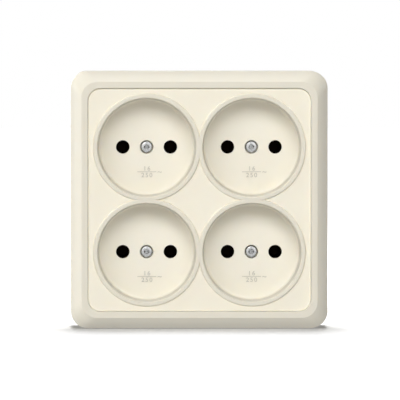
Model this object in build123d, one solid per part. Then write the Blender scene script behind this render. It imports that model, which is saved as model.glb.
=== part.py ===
from build123d import *
import os
from math import cos, radians, sin

# A surface-mounted outlet with four round two-pin wells, in millimetres. It is modelled lying on
# its back: x to the right, y up the wall and z from the wall to the front. Each finished piece is
# then turned so that the front faces -Y and up is +Z, with the origin at the centre of the back.

# Housing
SIZE = 102.5
DEPTH = 37.0
BEVEL_FOOT_SIZE = 102.2
BEVEL_FOOT_Z = 32.1
BAND_SIZE = 93.8
HOUSING_CORNER = 6.7
BAND_CORNER = 6.2
SKIRT_WALL = 2.0
CROWN_START = 62.0
CROWN_END = 36.4

# Joint between the frame and the socket plate
PLATE_SIZE = 88.9
PLATE_CORNER = 5.1
PLATE_EDGE_ROUND = 0.7
JOINT_GAP = 0.06
PLATE_STEP = 0.9
PLATE_THICKNESS = 2.0
LEDGE_WIDTH = 1.8
LEDGE_THICKNESS = 2.0

# Wells
WELL_PITCH = 41.8
WELL_DEPTH = 12.0
MOUTH_RADIUS = 19.78
MOUTH_ROUND = 0.12
FLOOR_RADIUS = 18.85
FLOOR_ROUND = 0.8
FLOOR_THICKNESS = 2.0
CUP_WALL = 0.95
RIM_RADIUS = 20.95
RIM_SHOULDER_RADIUS = 21.2
RIM_SHOULDER_DROP = 0.12
RIM_FOOT_RADIUS = 21.6

# Pins, their holes and the contacts behind them
PIN_PITCH = 19.0
PIN_HOLE_RADIUS = 2.7
COLLAR_RADIUS = 4.0
COLLAR_HEIGHT = 1.6
CLIP_WIDTH = 6.0
CLIP_SHEET = 0.6
CLIP_BASE = 6.6
CLIP_THROAT = 3.6
CLIP_FLARE = 6.0
CLIP_TOP = 17.2
CLIP_THROAT_Z = 13.6
CLIP_SHOULDER_Z = 8.2
CLIP_SLIT = 0.8

# Cover screws and nuts, M2.5
BOSS_RADIUS = 4.5
BOSS_HEIGHT = 2.0
RECESS_RADIUS = 2.7
RECESS_DEPTH = 2.6
SCREW_RADIUS = 1.25
SCREW_HEAD_RADIUS = 2.15
SCREW_HEAD_HEIGHT = 2.0
SCREW_LENGTH = 16.0
SCREW_HOLE_RADIUS = 1.45
NUT_WIDTH = 5.0
NUT_HEIGHT = 2.0
NUT_SEAT_Z = 9.0

# Mounting base
BASE_SIZE = 97.9
BASE_CORNER = 4.4
BASE_THICKNESS = 2.4
BASE_WALL = 1.6
BASE_RIM_Z = 12.0
BACK_RECESS = 0.8
POST_RADIUS = 4.75
POCKET_TOP_Z = 20.6
POCKET_LENGTH = 11.4
POCKET_WIDTH = 9.9
POCKET_WALL = 1.2
RAIL_HEIGHT = 1.0
RAIL_WIDTH = 0.7
SLOT_PITCH = 82.0
SLOT_LENGTH = 8.0
SLOT_WIDTH = 4.5
CABLE_HOLE_Y = 20.0
CABLE_HOLE_WIDTH = 10.0
CABLE_HOLE_HEIGHT = 16.0
KNOCK_OUT_WIDTH = 12.0
KNOCK_OUT_HEIGHT = 10.0
KNOCK_OUT_CORNER = 3.0

# Bus bars and terminals
BAR_SHEET = 0.8
BAR_WIDTH = 6.0
BAR_LINK_Y = 32.8
BAR_FREE_END_Y = 25.0
TERMINAL_X = 3.6
TERMINAL_Y = 7.0
TERMINAL_WIDTH = 8.0
TERMINAL_Z = 9.0
TERMINAL_SCREW_RADIUS = 2.0
TERMINAL_HEAD_RADIUS = 3.5
TERMINAL_HEAD_HEIGHT = 2.6
CLAMP_SIZE = 7.4
CLAMP_SHEET = 1.2
CLAMP_LIFT = 2.0
RIVET_RADIUS = 1.25
RIVET_HEAD_RADIUS = 2.2

# Levels above the wall that follow from the sizes above
PLATE_FACE_Z = DEPTH - PLATE_STEP
LEDGE_TOP_Z = PLATE_FACE_Z - PLATE_THICKNESS
LEDGE_UNDER_Z = LEDGE_TOP_Z - LEDGE_THICKNESS
FLOOR_Z = DEPTH - WELL_DEPTH
FLOOR_UNDER_Z = FLOOR_Z - FLOOR_THICKNESS
POST_TOP_Z = FLOOR_UNDER_Z - BOSS_HEIGHT
SCREW_SEAT_Z = FLOOR_Z - RECESS_DEPTH
BAR_Z = BASE_THICKNESS + RAIL_HEIGHT
BAR_TOP_Z = BAR_Z + BAR_SHEET
WELL_OFFSET = WELL_PITCH / 2
PIN_OFFSET = PIN_PITCH / 2
CUT_MARGIN = 1.0

WELL_CENTRES = [(x, y) for y in (WELL_OFFSET, -WELL_OFFSET) for x in (-WELL_OFFSET, WELL_OFFSET)]
PIN_CENTRES = [(x + side * PIN_OFFSET, y) for x, y in WELL_CENTRES for side in (-1, 1)]


def square(size, corner, z):
    """A square outline with rounded corners, parallel to the wall at height z."""
    return Pos(0, 0, z) * RectangleRounded(size, size, corner)


def rod(radius, bottom, top):
    """A cylinder about the z axis from one level to another."""
    return Pos(0, 0, bottom) * Cylinder(
        radius, top - bottom, align=(Align.CENTER, Align.CENTER, Align.MIN)
    )


def block(width, height, bottom, top):
    """A box centred on the z axis from one level to another."""
    return Pos(0, 0, bottom) * Box(
        width, height, top - bottom, align=(Align.CENTER, Align.CENTER, Align.MIN)
    )


def at_each(places, shape):
    """Copies of a shape at the given x and y places."""
    return [Pos(x, y, 0) * shape for x, y in places]


def crowned_bevel():
    """The bevel from the skirt up to the flat band: an arc in section, lofted from the skirt's
    outline to the band's, so that every corner keeps nearly the same radius."""
    width = (BEVEL_FOOT_SIZE - BAND_SIZE) / 2
    start, end = radians(CROWN_START), radians(CROWN_END)
    radius = width / (sin(start) - sin(end))
    stretch = (DEPTH - BEVEL_FOOT_Z) / (radius * (cos(end) - cos(start)))
    outlines = []
    for step in range(4):
        slope = start + (end - start) * step / 3
        inset = radius * (sin(start) - sin(slope))
        rise = radius * (cos(slope) - cos(start)) * stretch
        corner = HOUSING_CORNER + (BAND_CORNER - HOUSING_CORNER) * inset / width
        outlines.append(square(BEVEL_FOOT_SIZE - 2 * inset, corner, BEVEL_FOOT_Z + rise))
    return loft(outlines)


def knock_out(margin):
    """Arched outline of a cable knock-out, standing on the wall, grown by a margin."""
    outline = Pos(0, (KNOCK_OUT_HEIGHT + margin) / 2 - CUT_MARGIN / 2) * Rectangle(
        KNOCK_OUT_WIDTH + 2 * margin, KNOCK_OUT_HEIGHT + margin + CUT_MARGIN
    )
    return fillet(outline.vertices().sort_by(Axis.Y)[-2:], KNOCK_OUT_CORNER + margin)


def surround_frame():
    """Outer frame: drafted skirt, crowned bevel, flat band, ledge for the plate, stiffening ribs
    that stand on the base's rim, and a thin knock-out for a cable at the top and the bottom."""
    cavity_size = SIZE - 2 * SKIRT_WALL
    opening_size = PLATE_SIZE + 2 * JOINT_GAP
    ledge_opening_size = opening_size - 2 * LEDGE_WIDTH
    foot = square(SIZE, HOUSING_CORNER, 0)
    frame = loft([foot, square(BEVEL_FOOT_SIZE, HOUSING_CORNER, BEVEL_FOOT_Z)])
    frame += crowned_bevel()
    frame -= extrude(square(cavity_size, HOUSING_CORNER - SKIRT_WALL, 0), LEDGE_UNDER_Z)
    frame -= extrude(square(ledge_opening_size, PLATE_CORNER - LEDGE_WIDTH, 0), DEPTH)
    frame -= extrude(square(opening_size, PLATE_CORNER + JOINT_GAP, LEDGE_TOP_Z), DEPTH - LEDGE_TOP_Z)

    wall = cavity_size / 2
    rib_foot = BASE_SIZE / 2 - BASE_WALL
    rib_waist_z = BASE_RIM_Z + 10
    rib = make_face(
        Polyline(
            (wall + 0.3, BASE_RIM_Z),
            (rib_foot, BASE_RIM_Z),
            (rib_foot, rib_waist_z),
            (wall - 5.4, LEDGE_UNDER_Z + 0.3),
            (wall + 0.3, LEDGE_UNDER_Z + 0.3),
            close=True,
        )
    )
    rib = extrude(Plane.YZ * rib, 0.6, both=True)
    for quarter in range(4):
        for x in (-32, 32):
            frame += Rot(0, 0, 90 * quarter) * Pos(x, 0, 0) * rib

    # Pocket inside and fine outline groove outside leave a thin web that breaks out
    pocket = Pos(0, wall - 0.1, 0) * extrude(Plane.XZ * knock_out(0), -1.3)
    groove_face = knock_out(0) - knock_out(-0.8)
    groove = Pos(0, SIZE / 2 - 0.4, 0) * extrude(Plane.XZ * groove_face, -1)
    for half_turn in (0, 180):
        frame -= Rot(0, 0, half_turn) * (pocket + groove)
    return frame


def rim():
    """Raised rim of one well, with a sloped foot and a shoulder, as a disc on the panel."""
    root_z = PLATE_FACE_Z - 0.5
    outline = make_face(
        Polyline(
            (0, root_z),
            (RIM_FOOT_RADIUS - 0.3, root_z),
            (RIM_FOOT_RADIUS, PLATE_FACE_Z),
            (RIM_SHOULDER_RADIUS, DEPTH - RIM_SHOULDER_DROP),
            (RIM_RADIUS, DEPTH),
            (0, DEPTH),
            close=True,
        )
    )
    return revolve(Plane.XZ * outline, Axis.Z)


def well():
    """The hollow of one well: a flat floor, a rounded foot, and a wall that opens to the front."""
    slope = (MOUTH_RADIUS - FLOOR_RADIUS) / WELL_DEPTH
    outline = make_face(
        Polyline(
            (0, FLOOR_Z),
            (FLOOR_RADIUS, FLOOR_Z),
            (MOUTH_RADIUS + slope * CUT_MARGIN, DEPTH + CUT_MARGIN),
            (0, DEPTH + CUT_MARGIN),
            close=True,
        )
    )
    foot = [v for v in outline.vertices() if abs(v.X - FLOOR_RADIUS) < 0.01]
    outline = fillet(foot, FLOOR_ROUND)
    return revolve(Plane.XZ * outline, Axis.Z)


def socket_plate():
    """Front plate: a recessed panel with the four raised rims and the mouths of the wells."""
    panel = extrude(square(PLATE_SIZE, PLATE_CORNER, LEDGE_TOP_Z), PLATE_THICKNESS)
    plate = fillet(panel.edges().group_by(Axis.Z)[-1], PLATE_EDGE_ROUND)
    plate += at_each(WELL_CENTRES, rim())
    plate -= at_each(WELL_CENTRES, well())
    mouths = [
        edge
        for edge in plate.edges().filter_by(GeomType.CIRCLE)
        if abs(edge.center().Z - DEPTH) < 0.01 and abs(edge.radius - MOUTH_RADIUS) < 0.01
    ]
    return fillet(mouths, MOUTH_ROUND)


def well_cup():
    """One cup behind the plate, which carries on the wall of its mouth: a boss with a sunk screw
    seat at its centre, and two pin holes with collars behind the floor."""
    outline = make_face(
        Polyline(
            (0, FLOOR_UNDER_Z),
            (FLOOR_RADIUS + CUP_WALL, FLOOR_UNDER_Z),
            (MOUTH_RADIUS + CUP_WALL, LEDGE_TOP_Z),
            (0, LEDGE_TOP_Z),
            close=True,
        )
    )
    outer_foot = [v for v in outline.vertices() if abs(v.Y - FLOOR_UNDER_Z) < 0.01 and v.X > 1]
    cup = revolve(Plane.XZ * chamfer(outer_foot, 1.2), Axis.Z) - well()
    cup += rod(BOSS_RADIUS, POST_TOP_Z, FLOOR_UNDER_Z + 0.5)
    cup -= rod(RECESS_RADIUS, SCREW_SEAT_Z, FLOOR_Z + CUT_MARGIN)
    cup -= rod(SCREW_HOLE_RADIUS, POST_TOP_Z, SCREW_SEAT_Z)
    collar = rod(COLLAR_RADIUS, FLOOR_UNDER_Z - COLLAR_HEIGHT, FLOOR_UNDER_Z + 0.5)
    pin_hole = rod(PIN_HOLE_RADIUS, FLOOR_UNDER_Z - COLLAR_HEIGHT, FLOOR_Z + CUT_MARGIN)
    for side in (-1, 1):
        cup += Pos(side * PIN_OFFSET, 0, 0) * collar
        cup -= Pos(side * PIN_OFFSET, 0, 0) * pin_hole
    return cup


def mounting_base():
    """Moulded base on the wall: floor and rim, a post under each well with a nut pocket in its
    back, two walls beside each contact, rails under the bars, terminal seats and a barrier
    between them, slots for the wall screws, a cable hole and a round knock-out."""
    base = extrude(square(BASE_SIZE, BASE_CORNER, 0), BASE_RIM_Z)
    base -= extrude(
        square(BASE_SIZE - 2 * BASE_WALL, BASE_CORNER - BASE_WALL, BASE_THICKNESS), BASE_RIM_Z
    )
    notch = block(KNOCK_OUT_WIDTH + 0.6, 4 * BASE_WALL, BASE_THICKNESS, BASE_RIM_Z + CUT_MARGIN)
    for side in (-1, 1):
        base -= Pos(0, side * BASE_SIZE / 2, 0) * notch

    # Posts for the cover screws
    inside_z = BASE_THICKNESS - 0.4
    post = rod(POST_RADIUS, inside_z, POST_TOP_Z)
    base += at_each(WELL_CENTRES, post)

    # Side walls that guide each contact, joined along the bar by low channel ribs
    wall = block(POCKET_WALL, POCKET_LENGTH, inside_z, POCKET_TOP_Z)
    wall_offset = (POCKET_WIDTH - POCKET_WALL) / 2
    for side in (-1, 1):
        base += [Pos(x + side * wall_offset, y, 0) * wall for x, y in PIN_CENTRES]
    rail = block(RAIL_WIDTH, 10.6, inside_z, BAR_Z)
    rail_offset = (BAR_WIDTH - RAIL_WIDTH) / 2
    for side in (-1, 1):
        base += [Pos(x + side * rail_offset, y, 0) * rail for x, y in PIN_CENTRES]
    low_rib = block(POCKET_WALL, 2 * WELL_OFFSET, inside_z, BAR_TOP_Z + 1)
    outer_line = WELL_OFFSET + PIN_OFFSET + wall_offset
    inner_line = WELL_OFFSET + PIN_OFFSET - wall_offset
    for x in (-outer_line, -inner_line, inner_line, outer_line):
        base += Pos(x, 0, 0) * low_rib

    # Terminal seats, each with a blind hole for the tip of its screw, and the barrier
    seat = Pos(-1, 0, 0) * block(TERMINAL_WIDTH, TERMINAL_WIDTH, inside_z, TERMINAL_Z)
    seat -= rod(3.1, BASE_THICKNESS + 0.6, TERMINAL_Z + CUT_MARGIN)
    for half_turn in (0, 180):
        base += Rot(0, 0, half_turn) * Pos(TERMINAL_X, TERMINAL_Y, 0) * seat
    base += block(2 * (TERMINAL_X + TERMINAL_WIDTH / 2), 1.4, inside_z, BASE_RIM_Z + 5)

    # Wall screw slots on raised pads
    corners = [(x * SLOT_PITCH / 2, y * SLOT_PITCH / 2) for x in (-1, 1) for y in (-1, 1)]
    pad = extrude(Pos(0, 0, inside_z) * RectangleRounded(12.4, 9.4, 2), 1.4)
    slot = extrude(SlotOverall(SLOT_LENGTH, SLOT_WIDTH), BASE_RIM_Z)
    base += at_each(corners, pad)
    base -= at_each(corners, slot)

    # Cable hole with a collar round it, and the second entry left as a knock-out
    hole = RectangleRounded(CABLE_HOLE_WIDTH, CABLE_HOLE_HEIGHT, 3)
    collar = Pos(0, CABLE_HOLE_Y, inside_z) * RectangleRounded(
        CABLE_HOLE_WIDTH + 2.4, CABLE_HOLE_HEIGHT + 2.4, 4.2
    )
    base += extrude(collar, 1.9)
    base -= Pos(0, CABLE_HOLE_Y, 0) * extrude(hole, BASE_RIM_Z)
    ring = rod(6.0, 0.9, BASE_THICKNESS + CUT_MARGIN) - rod(5.2, 0.9, BASE_THICKNESS + CUT_MARGIN)
    base -= Pos(0, -CABLE_HOLE_Y, 0) * ring

    # Nut pockets and screw holes through the posts
    nut_pocket = extrude(RegularPolygon(NUT_WIDTH / 2 + 0.08, 6, major_radius=False), NUT_SEAT_Z)
    bore = rod(SCREW_HOLE_RADIUS, NUT_SEAT_Z, POST_TOP_Z)
    base -= at_each(WELL_CENTRES, nut_pocket + bore)

    # Shallow relief in the back between the lands that bear on the wall
    relief = RectangleRounded(35.5, 35.5, 3)
    relief_places = [(x, y) for x in (-23.25, 23.25) for y in (-23.25, 23.25)]
    relief = Sketch() + at_each(relief_places, relief)
    relief -= at_each(WELL_CENTRES, Circle(POST_RADIUS + 1.6))
    relief -= at_each(corners, RectangleRounded(15, 12, 3))
    base -= extrude(relief, BACK_RECESS)
    return base


def bus_bar():
    """Line bar, stamped from one strip: two legs under the left pins of the wells, a link above
    them, and a tab by the right leg that is joggled up to the terminal seat. The neutral bar is
    the same stamping turned half a turn."""
    left = -WELL_OFFSET - PIN_OFFSET
    right = WELL_OFFSET - PIN_OFFSET
    link = Pos((left + right) / 2, BAR_LINK_Y) * Rectangle(right - left + BAR_WIDTH, BAR_WIDTH)
    leg_length = BAR_LINK_Y + BAR_WIDTH / 2 + BAR_FREE_END_Y
    leg = Rectangle(BAR_WIDTH, leg_length, align=(Align.CENTER, Align.MIN))
    outline = link + Pos(left, -BAR_FREE_END_Y) * leg + Pos(right, -BAR_FREE_END_Y) * leg
    outline = fillet(outline.vertices(), 1.2)
    bar = extrude(Pos(0, 0, BAR_Z) * outline, BAR_SHEET)

    # Joggled tab, drawn as the middle line of the sheet
    middle = BAR_Z + BAR_SHEET / 2
    tab_level = TERMINAL_Z + BAR_SHEET / 2
    step_x = right - BAR_WIDTH / 2 - 0.9
    tab_path = FilletPolyline(
        (right - BAR_WIDTH / 2 + 1.5, middle),
        (step_x, middle),
        (step_x, tab_level),
        (TERMINAL_X - CLAMP_SIZE / 2 + 0.3, tab_level),
        radius=0.9,
    )
    tab = extrude(Plane.XZ * trace(tab_path, BAR_SHEET), TERMINAL_WIDTH / 2, both=True)
    bar += Pos(0, TERMINAL_Y, 0) * tab
    bar += Pos(TERMINAL_X, TERMINAL_Y, 0) * rod(2.8, TERMINAL_Z - 1.8, TERMINAL_Z + 0.2)
    bar -= Pos(TERMINAL_X, TERMINAL_Y, 0) * rod(
        TERMINAL_SCREW_RADIUS + 0.03, TERMINAL_Z - 2, TERMINAL_Z + 2
    )
    line_pins = [(x, y) for x in (left, right) for y in (-WELL_OFFSET, WELL_OFFSET)]
    bar -= at_each(line_pins, rod(RIVET_RADIUS + 0.05, BAR_Z - CUT_MARGIN, BAR_TOP_Z + CUT_MARGIN))
    return bar


def contact_clip():
    """Tulip contact: a flat foot on the bar and two leaves that close on the pin at a throat and
    flare again at the mouth. It is bent from one strip, drawn as the strip's middle line, and a
    slit splits each leaf into two fingers."""
    half = CLIP_SHEET / 2
    foot_z = BAR_TOP_Z + half
    leaf = CLIP_BASE / 2
    throat = CLIP_THROAT / 2 + half
    flare = CLIP_FLARE / 2 + half
    shape = FilletPolyline(
        (-flare, CLIP_TOP),
        (-throat, CLIP_THROAT_Z),
        (-leaf, CLIP_SHOULDER_Z),
        (-leaf, foot_z),
        (leaf, foot_z),
        (leaf, CLIP_SHOULDER_Z),
        (throat, CLIP_THROAT_Z),
        (flare, CLIP_TOP),
        radius=1.1,
    )
    clip = extrude(Plane.YZ * trace(shape, CLIP_SHEET), CLIP_WIDTH / 2, both=True)
    clip -= block(CLIP_SLIT, 2 * CLIP_BASE, CLIP_SHOULDER_Z, CLIP_TOP + CUT_MARGIN)
    clip -= rod(RIVET_RADIUS + 0.05, BAR_TOP_Z - CUT_MARGIN, BAR_TOP_Z + 2 * CLIP_SHEET)
    return clip


def rivet():
    """Rivet through the bar and the foot of a contact, with a low head on each side."""
    upper = rod(RIVET_HEAD_RADIUS, BAR_TOP_Z + CLIP_SHEET, BAR_TOP_Z + CLIP_SHEET + 0.7)
    upper = chamfer(upper.edges().group_by(Axis.Z)[-1], 0.3)
    lower = rod(RIVET_HEAD_RADIUS, BAR_Z - 0.8, BAR_Z)
    lower = chamfer(lower.edges().group_by(Axis.Z)[0], 0.3)
    return upper + lower + rod(RIVET_RADIUS, BAR_Z, BAR_TOP_Z + CLIP_SHEET)


def terminal_screw():
    """Slotted cheese head screw of a terminal, backed out so that a wire can enter."""
    head_z = TERMINAL_Z + BAR_SHEET + CLAMP_LIFT + CLAMP_SHEET
    head_top_z = head_z + TERMINAL_HEAD_HEIGHT
    head = rod(TERMINAL_HEAD_RADIUS, head_z, head_top_z)
    head = chamfer(head.edges().group_by(Axis.Z)[-1], 0.4)
    head -= block(1.0, 3 * TERMINAL_HEAD_RADIUS, head_top_z - 1.2, head_top_z + CUT_MARGIN)
    shank = rod(TERMINAL_SCREW_RADIUS, BASE_THICKNESS + 1.8, head_z)
    shank = chamfer(shank.edges().group_by(Axis.Z)[0], 0.5)
    return head + shank


def clamp_plate():
    """Square clamp plate under a terminal screw's head, with two lips that keep the wire in."""
    under_z = TERMINAL_Z + BAR_SHEET + CLAMP_LIFT
    outline = RectangleRounded(CLAMP_SIZE, CLAMP_SIZE, 0.8)
    plate = extrude(Pos(0, 0, under_z) * outline, CLAMP_SHEET)
    lip = block(1.0, CLAMP_SIZE - 2, under_z - 0.8, under_z + 0.3)
    for side in (-1, 1):
        plate += Pos(side * (CLAMP_SIZE / 2 - 0.5), 0, 0) * lip
    return plate - rod(TERMINAL_SCREW_RADIUS + 0.15, under_z - CUT_MARGIN, under_z + 2)


def cover_screw():
    """Pan head screw in a well floor, with a slot and a cross in one drive."""
    head_top_z = SCREW_SEAT_Z + SCREW_HEAD_HEIGHT
    head = rod(SCREW_HEAD_RADIUS, SCREW_SEAT_Z, head_top_z)
    head = fillet(head.edges().group_by(Axis.Z)[-1], 0.8)
    drive = block(0.7, 2 * SCREW_HEAD_RADIUS, head_top_z - 0.8, head_top_z + CUT_MARGIN)
    drive += block(2.6, 0.7, head_top_z - 1.1, head_top_z + CUT_MARGIN)
    drive += block(0.7, 2.6, head_top_z - 1.1, head_top_z + CUT_MARGIN)
    shank = rod(SCREW_RADIUS, SCREW_SEAT_Z - SCREW_LENGTH, SCREW_SEAT_Z)
    shank = chamfer(shank.edges().group_by(Axis.Z)[0], 0.4)
    return head - drive + shank


def cover_nut():
    """Hexagon nut that a cover screw pulls against, with its corners chamfered both sides."""
    hexagon = RegularPolygon(NUT_WIDTH / 2, 6, major_radius=False)
    nut = extrude(Pos(0, 0, NUT_SEAT_Z - NUT_HEIGHT) * hexagon, NUT_HEIGHT)
    turned = rod(NUT_WIDTH / 2 * 1.155, NUT_SEAT_Z - NUT_HEIGHT, NUT_SEAT_Z)
    turned = chamfer(turned.edges(), 0.3)
    return (nut & turned) - rod(SCREW_RADIUS + 0.03, NUT_SEAT_Z - 3 * NUT_HEIGHT, NUT_SEAT_Z)


def write(name, shape):
    """Stand a finished piece up against the wall and write it to its own file."""
    export_step(Rot(90, 0, 0) * shape, f"parts/{name}.step")


os.makedirs("parts", exist_ok=True)

write("surround_frame", surround_frame())
write("socket_plate", socket_plate())
write("mounting_base", mounting_base())

half_turn = Rot(0, 0, 180)
write("line_bus_bar", bus_bar())
write("neutral_bus_bar", half_turn * bus_bar())
for number, (pin_x, pin_y) in enumerate(PIN_CENTRES, start=1):
    write(f"contact_clip_{number}", Pos(pin_x, pin_y, 0) * contact_clip())
    write(f"clip_rivet_{number}", Pos(pin_x, pin_y, 0) * rivet())

terminal = Pos(TERMINAL_X, TERMINAL_Y, 0)
write("terminal_screw_line", terminal * terminal_screw())
write("terminal_screw_neutral", half_turn * terminal * terminal_screw())
write("clamp_plate_line", terminal * clamp_plate())
write("clamp_plate_neutral", half_turn * terminal * clamp_plate())

for number, (well_x, well_y) in enumerate(WELL_CENTRES, start=1):
    write(f"well_cup_{number}", Pos(well_x, well_y, 0) * well_cup())
    write(f"cover_screw_{number}", Pos(well_x, well_y, 0) * cover_screw())
    write(f"cover_nut_{number}", Pos(well_x, well_y, 0) * cover_nut())
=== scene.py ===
"""Finish, screws, marks, floor, light and camera for a surface-mounted outlet with four wells."""

import math

import bmesh
import bpy
from mathutils import Matrix, Vector


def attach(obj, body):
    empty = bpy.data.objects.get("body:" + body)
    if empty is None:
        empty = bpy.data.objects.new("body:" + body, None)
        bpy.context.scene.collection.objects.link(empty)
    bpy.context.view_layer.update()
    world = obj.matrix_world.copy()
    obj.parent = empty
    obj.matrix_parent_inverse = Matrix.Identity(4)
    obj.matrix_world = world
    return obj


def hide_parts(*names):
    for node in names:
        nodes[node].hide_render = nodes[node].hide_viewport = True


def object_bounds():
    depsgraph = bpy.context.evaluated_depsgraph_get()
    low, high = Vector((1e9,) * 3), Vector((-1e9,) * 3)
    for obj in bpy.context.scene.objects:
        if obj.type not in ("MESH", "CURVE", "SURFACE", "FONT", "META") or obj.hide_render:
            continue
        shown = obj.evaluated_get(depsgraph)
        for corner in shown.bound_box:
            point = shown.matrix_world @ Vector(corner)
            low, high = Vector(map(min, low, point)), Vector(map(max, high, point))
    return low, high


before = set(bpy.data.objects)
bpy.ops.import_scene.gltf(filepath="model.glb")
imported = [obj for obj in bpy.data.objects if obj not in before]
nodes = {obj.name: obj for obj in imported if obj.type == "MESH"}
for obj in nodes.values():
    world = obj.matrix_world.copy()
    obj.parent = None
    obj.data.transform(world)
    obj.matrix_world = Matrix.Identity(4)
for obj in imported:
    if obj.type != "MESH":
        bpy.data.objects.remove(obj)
cad_low, cad_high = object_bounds()


# Ivory frame and front plate
# The two large mouldings are solid-coloured ivory plastic with a satin, faintly pebbled skin from
# the mould. The frame and the raised rims are polished a shade greyer than the panel and the well
# floors. The walls of the wells and mouths are darker with painted shade, and the faces round the
# joint of the plate are paler with painted light.

panel_ivory = (0.920, 0.864, 0.728)
rim_ivory = (0.772, 0.732, 0.624)
well_ivory = (0.905, 0.864, 0.756)
# Paler tone round the joint between frame and plate: painted light against the shadow in the joint
joint_painted_light = (0.965, 0.945, 0.875)
# Share of the well colour on the walls of the wells and mouths: painted shade
painted_shade_share = 0.77
mottle_scale = 160
rim_mottle = (0.985, 1.01)
panel_mottle = (0.988, 1.008)
pebble_scale = 5200
pebble_depth = 0.00002
wave_scale = 70
wave_depth = 0.0002
haze_scale = 240
gloss_swing = 0.05
plastic_index = 1.49
noise_low = 0.3
noise_high = 0.7
band_face_y = -0.037
band_slack = 0.0001
panel_face_y = -0.0361
raised_start = 0.0001
raised_full = 0.0006
sunk_start = 0.0002
sunk_full = 0.0005
mouth_reach = 0.0415
joint_reach = 0.0452
wall_foot_y = -0.0265
wall_fade = 0.0015


def new_material(name):
    """A material and, from its node tree, the tree, a principled shader and object coordinates."""
    material = bpy.data.materials.new(name)
    material.use_nodes = True
    tree = material.node_tree
    tree.nodes.clear()
    output = tree.nodes.new("ShaderNodeOutputMaterial")
    shader = tree.nodes.new("ShaderNodeBsdfPrincipled")
    place = tree.nodes.new("ShaderNodeTexCoord")
    tree.links.new(shader.outputs["BSDF"], output.inputs["Surface"])
    return material, tree, shader, place.outputs["Object"]


def add_noise(tree, place, scale, detail=2.0, roughness=0.5):
    """Noise on coordinates. The scale counts features in a metre."""
    noise = tree.nodes.new("ShaderNodeTexNoise")
    noise.inputs["Scale"].default_value = scale
    noise.inputs["Detail"].default_value = detail
    noise.inputs["Roughness"].default_value = roughness
    tree.links.new(place, noise.inputs["Vector"])
    return noise.outputs["Fac"]


def add_range(tree, value, from_low, from_high, to_low=0.0, to_high=1.0):
    """A value carried from one range to another and held at its ends."""
    carried = tree.nodes.new("ShaderNodeMapRange")
    carried.inputs["From Min"].default_value = from_low
    carried.inputs["From Max"].default_value = from_high
    carried.inputs["To Min"].default_value = to_low
    carried.inputs["To Max"].default_value = to_high
    tree.links.new(value, carried.inputs["Value"])
    return carried.outputs["Result"]


def spread(tree, noise, low, high):
    """Noise, which mostly keeps to its middle values, stretched over a range from low to high."""
    return add_range(tree, noise, noise_low, noise_high, low, high)


def add_math(tree, operation, first, second):
    """A math node on a socket and on a second socket or a number."""
    node = tree.nodes.new("ShaderNodeMath")
    node.operation = operation
    tree.links.new(first, node.inputs[0])
    if isinstance(second, (int, float)):
        node.inputs[1].default_value = second
    else:
        tree.links.new(second, node.inputs[1])
    return node.outputs["Value"]


def add_bump(tree, height, strength, distance, below=None):
    """A bump node for a height, laid over the bump below it."""
    bump = tree.nodes.new("ShaderNodeBump")
    bump.inputs["Strength"].default_value = strength
    bump.inputs["Distance"].default_value = distance
    tree.links.new(height, bump.inputs["Height"])
    if below is not None:
        tree.links.new(below, bump.inputs["Normal"])
    return bump.outputs["Normal"]


def scaled(colour, share):
    """A colour with every channel scaled."""
    return tuple(channel * share for channel in colour)


def tinted(tree, colour_a, colour_b, share):
    """A mix of two colours, each a plain colour or a socket."""
    mix = tree.nodes.new("ShaderNodeMix")
    mix.data_type = "RGBA"
    tree.links.new(share, mix.inputs["Factor"])
    for slot, colour in (("A", colour_a), ("B", colour_b)):
        socket = [s for s in mix.inputs if s.name == slot and s.type == "RGBA"][0]
        if isinstance(colour, tuple):
            socket.default_value = (*colour, 1)
        else:
            tree.links.new(colour, socket)
    return [s for s in mix.outputs if s.type == "RGBA"][0]


def mottled(tree, place, colour, shares):
    """A colour that wanders between two shares of itself in faint blotches."""
    low, high = shares
    mottle = add_noise(tree, place, mottle_scale, detail=3.0)
    return tinted(tree, scaled(colour, low), scaled(colour, high), mottle)


def add_spot(tree, place):
    """The coordinates of a place one by one, as X, Y and Z."""
    spot = tree.nodes.new("ShaderNodeSeparateXYZ")
    tree.links.new(place, spot.inputs["Vector"])
    return spot.outputs


def add_reach(tree, spot):
    """How far a place is from the middle, across or up, whichever is more."""
    across = add_math(tree, "ABSOLUTE", spot["X"], 0)
    up = add_math(tree, "ABSOLUTE", spot["Z"], 0)
    return add_math(tree, "MAXIMUM", across, up)


def satin_plastic(tree, shader, place, colour, roughness, specular):
    """Moulded plastic: pebbling, slow waviness and uneven gloss over a translucent coloured body."""
    tree.links.new(colour, shader.inputs["Base Color"])
    pebble = add_noise(tree, place, pebble_scale, detail=3.0, roughness=0.6)
    wave = add_noise(tree, place, wave_scale, detail=1.0)
    bump = add_bump(tree, wave, strength=0.12, distance=wave_depth)
    bump = add_bump(tree, pebble, strength=0.22, distance=pebble_depth, below=bump)
    tree.links.new(bump, shader.inputs["Normal"])
    haze = add_noise(tree, place, haze_scale, detail=4.0, roughness=0.65)
    gloss = spread(tree, haze, roughness - gloss_swing, roughness + gloss_swing)
    tree.links.new(gloss, shader.inputs["Roughness"])
    shader.inputs["IOR"].default_value = plastic_index
    shader.inputs["Specular IOR Level"].default_value = specular
    shader.inputs["Subsurface Weight"].default_value = 0.3
    shader.inputs["Subsurface Radius"].default_value = (1.0, 0.85, 0.65)
    shader.inputs["Subsurface Scale"].default_value = 0.001


# The frame, paler with painted light where it faces the joint, behind its band
frame_plastic, tree, shader, place = new_material("frame_plastic")
spot = add_spot(tree, place)
inside = add_math(tree, "LESS_THAN", add_reach(tree, spot), joint_reach)
behind = add_math(tree, "GREATER_THAN", spot["Y"], band_face_y + band_slack)
joint_light_mask = add_math(tree, "MULTIPLY", inside, behind)
colour = tinted(tree, mottled(tree, place, rim_ivory, rim_mottle), joint_painted_light, joint_light_mask)
satin_plastic(tree, shader, place, colour, roughness=0.42, specular=0.35)

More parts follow.
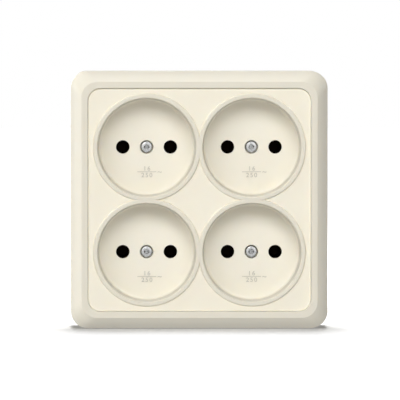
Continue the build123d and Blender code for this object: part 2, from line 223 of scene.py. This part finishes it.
# The plate: its panel, the rims that stand out from it, and the mouths and edges that fall back
plate_plastic, tree, shader, place = new_material("plate_plastic")
spot = add_spot(tree, place)
panel_colour = mottled(tree, place, panel_ivory, panel_mottle)
rim_colour = mottled(tree, place, rim_ivory, rim_mottle)
edge = add_math(tree, "GREATER_THAN", add_reach(tree, spot), mouth_reach)
# The walls of the mouths take the darker well colour as painted shade, and the edge at the joint takes
# the paler joint colour as painted light.
painted_shade_and_light = tinted(tree, scaled(well_ivory, painted_shade_share), joint_painted_light, edge)
raised = add_range(tree, spot["Y"], panel_face_y - raised_start, panel_face_y - raised_full)
sunk = add_range(tree, spot["Y"], panel_face_y + sunk_start, panel_face_y + sunk_full)
colour = tinted(tree, panel_colour, rim_colour, raised)
colour = tinted(tree, colour, painted_shade_and_light, sunk)
satin_plastic(tree, shader, place, colour, roughness=0.46, specular=0.25)

# The wells, darker with painted shade on their walls above the foot
well_plastic, tree, shader, place = new_material("well_plastic")
spot = add_spot(tree, place)
wall = add_range(tree, spot["Y"], wall_foot_y, wall_foot_y - wall_fade)
unshaded_colour = mottled(tree, place, well_ivory, panel_mottle)
colour = tinted(tree, unshaded_colour, scaled(well_ivory, painted_shade_share), wall)
satin_plastic(tree, shader, place, colour, roughness=0.5, specular=0.06)


def finish_node(name, material):
    """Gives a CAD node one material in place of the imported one."""
    mesh = nodes[name].data
    mesh.materials.clear()
    mesh.materials.append(material)


finish_node("surround_frame", frame_plastic)
finish_node("socket_plate", plate_plastic)
for number in (1, 2, 3, 4):
    finish_node(f"well_cup_{number}", well_plastic)


# Mounting base
# A compression moulding in dark thermoset, filled with mineral flour, so its skin is dull and
# finely speckled. It lies on the wall and is seen from the back and through the pin holes.

thermoset_dark = (0.018, 0.017, 0.016)
thermoset_fleck = (0.055, 0.050, 0.045)
fleck_scale = 2600
fleck_depth = 0.00003
sheen_scale = 180
sheen_low = 0.48
sheen_high = 0.62

thermoset, tree, shader, place = new_material("dark_thermoset")
flecks = add_noise(tree, place, fleck_scale, detail=5.0, roughness=0.7)
fleck_share = spread(tree, flecks, 0.0, 1.0)
tree.links.new(tinted(tree, thermoset_dark, thermoset_fleck, fleck_share), shader.inputs["Base Color"])
sheen = add_noise(tree, place, sheen_scale, detail=3.0)
tree.links.new(spread(tree, sheen, sheen_low, sheen_high), shader.inputs["Roughness"])
bump = add_bump(tree, flecks, strength=0.25, distance=fleck_depth)
tree.links.new(bump, shader.inputs["Normal"])
finish_node("mounting_base", thermoset)


# Bus bars, contacts and rivets
# Hard brass strip and phosphor bronze spring strip, both stamped and bent, with bronze rivets that
# hold the contacts. Rolling lines run along the strip. The bronze is coloured near black as painted
# shade, so that the contacts and rivets deep in the pin holes read dark.

brass_bright = (0.62, 0.42, 0.17)
brass_film = (0.34, 0.21, 0.08)
# Both bronze colours are painted shade, dark enough that the pin holes read black.
bronze_painted_shade = (0.040, 0.024, 0.014)
bronze_deeper_painted_shade = (0.014, 0.009, 0.006)
film_scale = 220
film_low = 0.15
film_high = 0.9
line_depth = 0.00001
across_lines = 9000
along_lines = 260


def rolled_metal(name, bright, film, line_scales, gloss):
    """Rolled strip: a metal with a patchy film and fine lines, whose scales count lines in a metre."""
    material, tree, shader, place = new_material(name)
    stretch = tree.nodes.new("ShaderNodeMapping")
    stretch.inputs["Scale"].default_value = line_scales
    tree.links.new(place, stretch.inputs["Vector"])
    lines = add_noise(tree, stretch.outputs["Vector"], 1, detail=3.0)
    patches = add_noise(tree, place, film_scale, detail=4.0, roughness=0.6)
    film_share = spread(tree, patches, film_low, film_high)
    tree.links.new(tinted(tree, bright, film, film_share), shader.inputs["Base Color"])
    tree.links.new(spread(tree, lines, *gloss), shader.inputs["Roughness"])
    bump = add_bump(tree, lines, strength=0.3, distance=line_depth)
    tree.links.new(bump, shader.inputs["Normal"])
    shader.inputs["Metallic"].default_value = 1.0
    return material


upright_lines = (across_lines, across_lines, along_lines)
level_lines = (along_lines, across_lines, across_lines)
brass = rolled_metal("rolled_brass", brass_bright, brass_film, upright_lines, gloss=(0.28, 0.46))
bronze = rolled_metal("spring_bronze_painted_shade", bronze_painted_shade, bronze_deeper_painted_shade, level_lines, gloss=(0.42, 0.6))
for name in ("line_bus_bar", "neutral_bus_bar"):
    finish_node(name, brass)
for name in nodes:
    if name.startswith(("contact_clip_", "clip_rivet_")):
        finish_node(name, bronze)


# Clamp plates, nuts and terminal screws
# Small steel parts, barrel plated with zinc: pale grey, a little blotchy and neither bright nor
# dull. The nuts are seen in the back of the base.

zinc_pale = (0.78, 0.78, 0.77)
zinc_grey = (0.56, 0.57, 0.58)


def zinc_plated(name, pale, grey, blotch_scale, gloss, grain_scale, grain_strength, grain_depth):
    """Plated steel: a metal with blotches of two greys, gloss that follows them, and a fine grain."""
    material, tree, shader, place = new_material(name)
    blotches = add_noise(tree, place, blotch_scale, detail=4.0, roughness=0.65)
    blotch_share = spread(tree, blotches, 0.0, 1.0)
    tree.links.new(tinted(tree, pale, grey, blotch_share), shader.inputs["Base Color"])
    tree.links.new(spread(tree, blotches, *gloss), shader.inputs["Roughness"])
    grain = add_noise(tree, place, grain_scale, detail=3.0)
    tree.links.new(add_bump(tree, grain, grain_strength, grain_depth), shader.inputs["Normal"])
    shader.inputs["Metallic"].default_value = 1.0
    return material


zinc = zinc_plated(
    "zinc_plate",
    zinc_pale,
    zinc_grey,
    blotch_scale=900,
    gloss=(0.26, 0.44),
    grain_scale=9000,
    grain_strength=0.2,
    grain_depth=0.00001,
)
for name in nodes:
    if name.startswith(("clamp_plate_", "cover_nut_", "terminal_screw_", "cover_screw_")):
        finish_node(name, zinc)


# Cover screws
# Pan head machine screws of zinc-plated steel, cold headed with a cross recess over a slot, with a
# rolled thread up to the head. Each one pulls its well against the nut in the back of its post.

screw_pale = (0.57, 0.57, 0.56)
screw_grey = (0.34, 0.35, 0.36)
screw_seat_y = -0.0224
screw_turns = (4, -7, 10, -3)
well_pitch = 0.0418
head_radius = 0.00225
head_height = 0.002
head_round = 0.0004
head_foot_round = 0.0001
slot_width = 0.0007
slot_depth = 0.0006
dish_radius = 0.00115
dish_foot_radius = 0.0007
dish_depth = 0.0004
cone_radius = 0.00062
cone_tip_radius = 0.0001
recess_reach = 0.00125
recess_depth = 0.0015
wing_width = 0.00045
wing_taper = 0.55
cutter_lift = 0.0001
core_radius = 0.00103
core_overlap = 0.0002
tip_bevel = 0.0004
crest_radius = 0.00124
crest_half = 0.00003
ridge_sunk = 0.00008
ridge_half = 0.00019
thread_start = 0.0008
thread_pitch = 0.00045
thread_turns = 33
thread_steps = 20
shank_length = 0.016
level_slack = 1e-6
smooth_angle = 32


def clear_selection():
    """Deselects everything, so that an operator works on new geometry only."""
    if bpy.context.object is not None and bpy.context.object.mode != "OBJECT":
        bpy.ops.object.mode_set(mode="OBJECT")
    bpy.ops.object.select_all(action="DESELECT")


def settle(piece):
    """Puts a piece's place, turn and scale into its mesh."""
    clear_selection()
    piece.select_set(True)
    bpy.context.view_layer.objects.active = piece
    bpy.ops.object.transform_apply(location=True, rotation=True, scale=True)


def add_block(size, middle, turn=0):
    """A block around its middle, turned by an angle in degrees about the upright axis."""
    clear_selection()
    bpy.ops.mesh.primitive_cube_add(size=1, location=middle)
    block = bpy.context.object
    block.scale = size
    block.rotation_euler = (0, 0, math.radians(turn))
    settle(block)
    return block


def select_edges(piece, wanted):
    """In edge mode, selects the edges whose two ends pass the test."""
    bpy.ops.object.mode_set(mode="EDIT")
    bpy.ops.mesh.select_mode(type="EDGE")
    bpy.ops.mesh.select_all(action="DESELECT")
    shell = bmesh.from_edit_mesh(piece.data)
    for edge in shell.edges:
        edge.select_set(all(wanted(vertex.co) for vertex in edge.verts))
    shell.select_flush_mode()
    bmesh.update_edit_mesh(piece.data)


def cut_away(piece, cutter):
    """Cuts one closed mesh out of another and removes the cutter."""
    clear_selection()
    piece.select_set(True)
    bpy.context.view_layer.objects.active = piece
    cut = piece.modifiers.new("cut", "BOOLEAN")
    cut.operation = "DIFFERENCE"
    cut.solver = "EXACT"
    cut.object = cutter
    bpy.ops.object.modifier_apply(modifier=cut.name)
    bpy.data.objects.remove(cutter)


def join_into(base, pieces):
    """Joins pieces into a base piece, which is left without a material."""
    clear_selection()
    for piece in (*pieces, base):
        piece.select_set(True)
    bpy.context.view_layer.objects.active = base
    bpy.ops.object.join()
    base.data.materials.clear()


# The head, upright at the origin
clear_selection()
bpy.ops.mesh.primitive_cylinder_add(
    vertices=64, radius=head_radius, depth=head_height, location=(0, 0, head_height / 2)
)
screw = bpy.context.object
settle(screw)
select_edges(screw, lambda end: abs(end.z - head_height) < level_slack)
bpy.ops.mesh.bevel(offset=head_round, segments=6, profile=0.5, affect="EDGES")
select_edges(screw, lambda end: end.z < level_slack)
bpy.ops.mesh.bevel(offset=head_foot_round, segments=2, affect="EDGES")
bpy.ops.object.mode_set(mode="OBJECT")

# The slot, and the cross recess, whose wings narrow towards their foot
cut_away(screw, add_block((slot_width, 3 * head_radius, 2 * slot_depth), (0, 0, head_height)))
recess_middle = head_height - recess_depth / 2
for turn in (0, 90):
    wings = add_block(
        (wing_width, 2 * recess_reach, recess_depth + 2 * cutter_lift),
        (0, 0, recess_middle + cutter_lift),
        turn,
    )
    for vertex in wings.data.vertices:
        if vertex.co.z < recess_middle:
            vertex.co.x *= wing_taper
            vertex.co.y *= wing_taper
    cut_away(screw, wings)

# A shallow dish opens the recess, and a deeper cone runs down its middle
dish = (dish_radius, dish_foot_radius, dish_depth)
cone = (cone_radius, cone_tip_radius, recess_depth)
for top_radius, foot_radius, depth in (dish, cone):
    middle = head_height - depth / 2
    clear_selection()
    bpy.ops.mesh.primitive_cone_add(
        vertices=48, radius1=foot_radius, radius2=top_radius, depth=depth, location=(0, 0, middle)
    )
    cutter = bpy.context.object
    settle(cutter)
    for vertex in cutter.data.vertices:
        if vertex.co.z > middle:
            vertex.co.z += cutter_lift
    cut_away(screw, cutter)

# The core of the shank, with a bevelled tip
clear_selection()
bpy.ops.mesh.primitive_cylinder_add(
    vertices=32, radius=core_radius, depth=shank_length, location=(0, 0, core_overlap - shank_length / 2)
)
core = bpy.context.object
settle(core)
select_edges(core, lambda end: end.z < -shank_length / 2)
bpy.ops.mesh.bevel(offset=tip_bevel, segments=1, affect="EDGES")
bpy.ops.object.mode_set(mode="OBJECT")

# The thread: a ridge wound about the core, closed at both ends
clear_selection()
bpy.ops.mesh.primitive_circle_add(vertices=4, radius=ridge_half, fill_type="NOTHING", location=(0, 0, 0))
ridge = bpy.context.object
outline = (
    (core_radius - ridge_sunk, -ridge_half),
    (crest_radius, -crest_half),
    (crest_radius, crest_half),
    (core_radius - ridge_sunk, ridge_half),
)
for vertex, (out, along) in zip(ridge.data.vertices, outline):
    vertex.co = (out, 0, along - shank_length + thread_start)
wind = ridge.modifiers.new("wind", "SCREW")
wind.axis = "Z"
wind.angle = 2 * math.pi
wind.screw_offset = thread_pitch
wind.iterations = thread_turns
wind.steps = thread_steps
wind.render_steps = thread_steps
bpy.ops.object.modifier_apply(modifier=wind.name)
bpy.ops.object.mode_set(mode="EDIT")
bpy.ops.mesh.select_mode(type="EDGE")
bpy.ops.mesh.select_all(action="DESELECT")
bpy.ops.mesh.select_non_manifold()
bpy.ops.mesh.edge_face_add()
bpy.ops.mesh.select_all(action="SELECT")
bpy.ops.mesh.normals_make_consistent(inside=False)
bpy.ops.object.mode_set(mode="OBJECT")

# The whole screw, laid down with its head to the front
join_into(screw, (core, ridge))
screw.rotation_euler = (math.radians(90), 0, 0)
settle(screw)
bpy.ops.object.shade_smooth_by_angle(angle=math.radians(smooth_angle))
screw_zinc = zinc_plated(
    "screw_zinc",
    screw_pale,
    screw_grey,
    blotch_scale=1500,
    gloss=(0.30, 0.50),
    grain_scale=12000,
    grain_strength=0.35,
    grain_depth=0.00002,
)
screw.data.materials.append(screw_zinc)

well_places = [(side * well_pitch / 2, level * well_pitch / 2) for level in (1, -1) for side in (-1, 1)]
for number, ((x, z), turn) in enumerate(zip(well_places, screw_turns), start=1):
    copy = bpy.data.objects.new(f"well_screw_{number}", screw.data.copy())
    copy.data.transform(Matrix.Rotation(math.radians(turn), 4, "Y"))
    copy.data.transform(Matrix.Translation((x, screw_seat_y, z)))
    bpy.context.collection.objects.link(copy)
    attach(copy, "root")
    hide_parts(f"cover_screw_{number}")
bpy.data.objects.remove(screw)


# Rating marks
# Plain figures moulded in low relief on each well floor, below the screw: a current over a bar
# over a voltage, with the wave sign for alternating current beside them.

well_floor_y = -0.025
mark_relief = 0.00012
mark_dark = 0.66
mark_pale = 0.78
mark_mottle_scale = 900
figure_height = 0.00178
height_share = 0.72
figure_size = figure_height / height_share
figure_weight = 0.00004
figure_spacing = 1.3
figures_x = 0.0001
upper_row_z = -0.0087
bar_z = -0.0099
lower_row_z = -0.0113
bar_length = 0.0076
bar_thickness = 0.00026
bar_round = 0.00005
wave_size = 0.0030
wave_x = 0.0052


def add_figures(text, size, x, z):
    """Figures as a mesh, upright on the well floor of the well at the origin, facing the front."""
    clear_selection()
    bpy.ops.object.text_add(location=(x, well_floor_y, z), rotation=(math.pi / 2, 0, 0))
    figures = bpy.context.object
    figures.data.body = text
    figures.data.size = size
    figures.data.align_x = "CENTER"
    figures.data.align_y = "CENTER"
    figures.data.extrude = mark_relief
    figures.data.offset = figure_weight
    figures.data.space_character = figure_spacing
    bpy.ops.object.convert(target="MESH")
    settle(figures)
    return figures


current = add_figures("16", figure_size, figures_x, upper_row_z)
voltage = add_figures("250", figure_size, figures_x, lower_row_z)
wave_sign = add_figures("~", wave_size, wave_x, bar_z)
mark = add_block((bar_length, 2 * mark_relief, bar_thickness), (figures_x, well_floor_y, bar_z))
bpy.ops.object.mode_set(mode="EDIT")
bpy.ops.mesh.select_all(action="SELECT")
bpy.ops.mesh.bevel(offset=bar_round, segments=2, affect="EDGES")
bpy.ops.object.mode_set(mode="OBJECT")
join_into(mark, (current, voltage, wave_sign))

mark_plastic, tree, shader, place = new_material("mark_plastic")
mottle = add_noise(tree, place, mark_mottle_scale, detail=3.0)
colour = tinted(tree, scaled(well_ivory, mark_dark), scaled(well_ivory, mark_pale), mottle)
satin_plastic(tree, shader, place, colour, roughness=0.5, specular=0.1)
mark.data.materials.append(mark_plastic)

for number, (x, z) in enumerate(well_places, start=1):
    copy = bpy.data.objects.new(f"rating_mark_{number}", mark.data.copy())
    copy.data.transform(Matrix.Translation((x, 0, z)))
    bpy.context.collection.objects.link(copy)
    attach(copy, "root")
bpy.data.objects.remove(mark)


# Floor
# A wide white sheet that the outlet stands on. The camera sees matt paper with a lamp of its own
# and a shade where the outlet touches it, which turns plain white farther out. To all other rays
# the sheet is evenly bright, so that it lights the outlet from below.

floor_z = cad_low.z
floor_width = 12
sheet_level = 0.57
contact_reach = 0.0035
contact_start = 0.5
contact_share = 0.5
paper_share = 0.95
paper_glow = 0.24
glow_start = 0.15
glow_end = 0.35

clear_selection()
bpy.ops.mesh.primitive_plane_add(size=floor_width, location=(0, 0, floor_z))
floor = bpy.context.object
floor.name = "floor"

paper = bpy.data.materials.new("floor_paper")
paper.use_nodes = True
tree = paper.node_tree
tree.nodes.clear()
nearness = tree.nodes.new("ShaderNodeAmbientOcclusion")
nearness.inputs["Distance"].default_value = contact_reach
contact = add_range(tree, nearness.outputs["AO"], contact_start, 1.0, contact_share, 1.0)
place = tree.nodes.new("ShaderNodeTexCoord")
reach = tree.nodes.new("ShaderNodeVectorMath")
reach.operation = "LENGTH"
tree.links.new(place.outputs["Object"], reach.inputs[0])
away = add_range(tree, reach.outputs["Value"], glow_start, glow_end, paper_glow, 1.0)
shown_body = tree.nodes.new("ShaderNodeBsdfDiffuse")
tree.links.new(add_math(tree, "MULTIPLY", contact, paper_share), shown_body.inputs["Color"])
shown_glow = tree.nodes.new("ShaderNodeEmission")
tree.links.new(add_math(tree, "MULTIPLY", contact, away), shown_glow.inputs["Strength"])
shown = tree.nodes.new("ShaderNodeAddShader")
tree.links.new(shown_body.outputs["BSDF"], shown.inputs[0])
tree.links.new(shown_glow.outputs["Emission"], shown.inputs[1])
lit_sheet = tree.nodes.new("ShaderNodeEmission")
lit_sheet.inputs["Strength"].default_value = sheet_level
ray = tree.nodes.new("ShaderNodeLightPath")
choice = tree.nodes.new("ShaderNodeMixShader")
tree.links.new(ray.outputs["Is Camera Ray"], choice.inputs["Fac"])
tree.links.new(lit_sheet.outputs["Emission"], choice.inputs[1])
tree.links.new(shown.outputs["Shader"], choice.inputs[2])
output = tree.nodes.new("ShaderNodeOutputMaterial")
tree.links.new(choice.outputs["Shader"], output.inputs["Surface"])
floor.data.materials.append(paper)


# Surroundings
# A plain white studio. The camera and reflections see it as white. The light that it adds comes
# mostly from the left and fades to nothing on the right, as beside a window.

ambient = 0.23
window_lean = (-1.0, 0.0, 0.0)

world = bpy.data.worlds.new("studio")
bpy.context.scene.world = world
world.use_nodes = True
tree = world.node_tree
tree.nodes.clear()
direction = tree.nodes.new("ShaderNodeTexCoord")
lean = tree.nodes.new("ShaderNodeVectorMath")
lean.operation = "DOT_PRODUCT"
lean.inputs[1].default_value = window_lean
tree.links.new(direction.outputs["Generated"], lean.inputs[0])
dim = tree.nodes.new("ShaderNodeBackground")
tree.links.new(add_range(tree, lean.outputs["Value"], -1, 1, 0, ambient), dim.inputs["Strength"])
white = tree.nodes.new("ShaderNodeBackground")
white.inputs["Strength"].default_value = 1
for background in (dim, white):
    background.inputs["Color"].default_value = (1, 1, 1, 1)
ray = tree.nodes.new("ShaderNodeLightPath")
seen = add_math(tree, "MAXIMUM", ray.outputs["Is Camera Ray"], ray.outputs["Is Glossy Ray"])
seen = add_math(tree, "MAXIMUM", seen, ray.outputs["Is Transmission Ray"])
choice = tree.nodes.new("ShaderNodeMixShader")
tree.links.new(seen, choice.inputs["Fac"])
tree.links.new(dim.outputs["Background"], choice.inputs[1])
tree.links.new(white.outputs["Background"], choice.inputs[2])
output = tree.nodes.new("ShaderNodeOutputWorld")
tree.links.new(choice.outputs["Shader"], output.inputs["Surface"])


# Lamps
# Soft boxes aimed at the outlet: a wide strip and a box above in front, a weaker and lower strip,
# one overhead, one level with the left side and two behind for the back. The floor has a lamp of
# its own and takes no light from the others.


def towards(azimuth, elevation):
    """The direction at an azimuth and an elevation, in degrees, from the outlet's front."""
    turn = math.radians(azimuth)
    lift = math.radians(elevation)
    return Vector((math.sin(turn) * math.cos(lift), -math.cos(turn) * math.cos(lift), math.sin(lift)))


def add_softbox(name, azimuth, elevation, distance, width, height, watts):
    """A soft box that faces the outlet, with its angles in degrees and its sizes in metres."""
    lamp = bpy.data.lights.new(name, "AREA")
    lamp.shape = "RECTANGLE"
    lamp.size = width
    lamp.size_y = height
    lamp.energy = watts
    box = bpy.data.objects.new(name, lamp)
    outward = towards(azimuth, elevation)
    box.location = outward * distance
    box.rotation_euler = outward.to_track_quat("Z", "Y").to_euler()
    bpy.context.collection.objects.link(box)
    return box


body_lamps = [
    add_softbox("top_strip", -12, 29, distance=2.4, width=3.2, height=1.0, watts=33.5),
    add_softbox("top_box", 0, 29, distance=2.4, width=0.8, height=0.8, watts=7.2),
    add_softbox("low_strip", 0, 18, distance=2.4, width=3.2, height=0.6, watts=6.6),
    add_softbox("overhead_box", 0, 84, distance=2.4, width=1.0, height=0.6, watts=15.0),
    add_softbox("left_strip", -88, 5, distance=2.4, width=0.8, height=1.2, watts=27.5),
    add_softbox("back_left_box", -150, 12, distance=1.2, width=0.6, height=0.6, watts=4.5),
    add_softbox("back_right_box", 150, 12, distance=1.2, width=0.6, height=0.6, watts=4.5),
]
floor_lamp = add_softbox("floor_strip", 180, 67, distance=1.2, width=0.3, height=0.85, watts=17.0)

floor_only = bpy.data.collections.new("floor_only")
floor_only.objects.link(floor)
floor_lamp.light_linking.receiver_collection = floor_only
all_but_floor = bpy.data.collections.new("all_but_floor")
all_but_floor.objects.link(floor)
all_but_floor.collection_objects[0].light_linking.link_state = "EXCLUDE"
for lamp in body_lamps:
    lamp.light_linking.receiver_collection = all_but_floor


# Camera
# Far in front, barely above the outlet and barely to its left, as the photograph's nearly parallel
# view needs. The picture's width comes from the pin holes: 19 mm is 47.7 of its 400 pixels.

pin_pitch = 0.019
pin_pitch_pixels = 47.7
picture_pixels = 400
view_width = pin_pitch / pin_pitch_pixels * picture_pixels
camera_azimuth = -1
camera_elevation = 1.3
camera_distance = 3.0
aim = Vector((0.0003, -0.031, -0.00014))

camera_data = bpy.data.cameras.new("camera")
camera_data.sensor_width = 36
camera_data.lens = camera_data.sensor_width * camera_distance / view_width
camera_data.clip_start = 0.1
camera_data.clip_end = 20
camera = bpy.data.objects.new("camera", camera_data)
outward = towards(camera_azimuth, camera_elevation)
camera.location = aim + outward * camera_distance
camera.rotation_euler = outward.to_track_quat("Z", "Y").to_euler()
bpy.context.collection.objects.link(camera)
bpy.context.scene.camera = camera
bpy.context.scene.view_settings.view_transform = "Standard"
